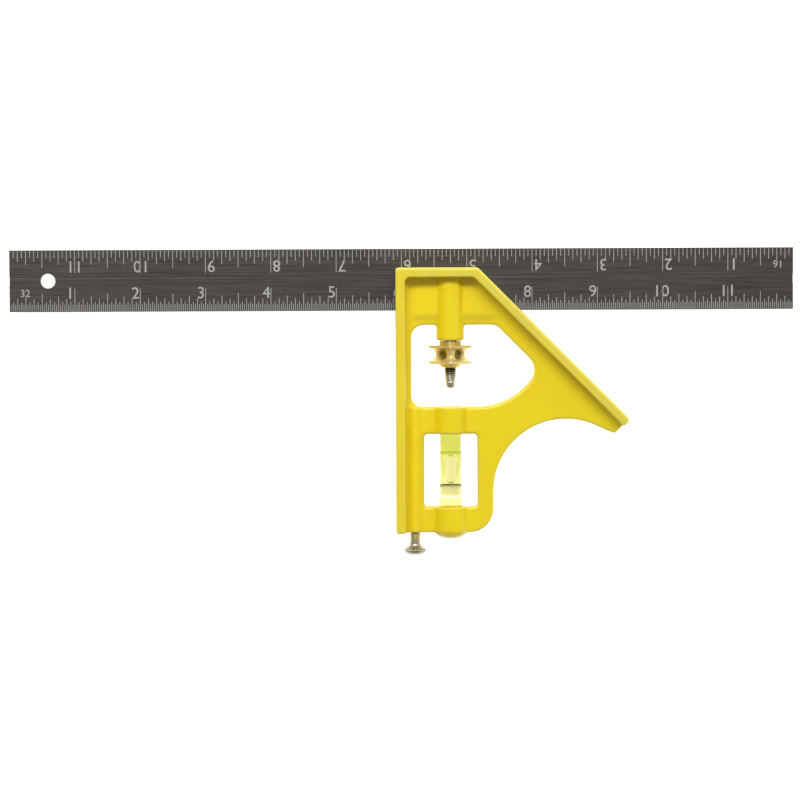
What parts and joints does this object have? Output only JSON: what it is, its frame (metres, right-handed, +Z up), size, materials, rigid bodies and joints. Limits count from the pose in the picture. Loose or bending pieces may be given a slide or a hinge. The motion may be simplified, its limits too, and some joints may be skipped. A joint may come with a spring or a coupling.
{
  "type": "combination square",
  "caption": "Combination square with a grooved steel rule, a cast head with 90 and 45 degree faces, a clamp bolt and nut, a spirit vial and a scriber.",
  "frame": {"origin": "middle of the whole square's underside, lying on its back with the rule as in the picture", "axes": "+X along the rule to the right, +Y across the rule towards its free edge, +Z up, out of the face with the groove"},
  "size_m": [0.3048, 0.1194, 0.019],
  "materials": {
    "casting": "glossy yellow paint on die-cast zinc",
    "blade": "dark satin steel with lighter etched graduations",
    "steel": "bright turned steel",
    "brass": "turned brass",
    "knob": "satin turned steel",
    "vial_clear": "clear acrylic",
    "vial_fluid": "yellow-green vial fluid",
    "vial_ring": "black sight ring",
    "plug": "off-white retaining plug",
    "pad": "soft black pad"
  },
  "bodies": {
    "head": {"head_casting": "casting", "clamp_spring": "steel", "vial_tube": "vial_clear", "vial_cap": "vial_clear", "vial_fluid": "vial_fluid", "vial_ring_upper": "vial_ring", "vial_ring_lower": "vial_ring", "vial_plug": "plug", "vial_pad": "pad", "scriber_bush": "brass"},
    "rule": {"blade": "blade"},
    "bolt": {"clamp_bolt": "steel"},
    "nut": {"lock_nut": "brass"},
    "scriber": {"scriber_needle": "steel", "scriber_knob": "knob"}
  },
  "joints": [
    {"name": "blade_slide", "type": "slide", "parent": "head", "child": "rule", "axis": [1, 0, 0], "range_m": [-0.12, 0.149]},
    {"name": "nut_turn", "type": "hinge", "parent": "head", "child": "nut", "pos_m": [0.0189, 0.01878, 0.0095], "axis": [0, 1, 0], "range_deg": [0, 360]},
    {"name": "bolt_lift", "type": "slide", "parent": "head", "child": "bolt", "axis": [0, 1, 0], "range_m": [0, 0.0008]},
    {"name": "scriber_pull", "type": "slide", "parent": "head", "child": "scriber", "axis": [0, -1, 0], "range_m": [0, 0.04]}
  ],
  "couplings": [
    {"joint": "nut_turn", "follows": "bolt_lift", "rad_per_m": 7854}
  ]
}
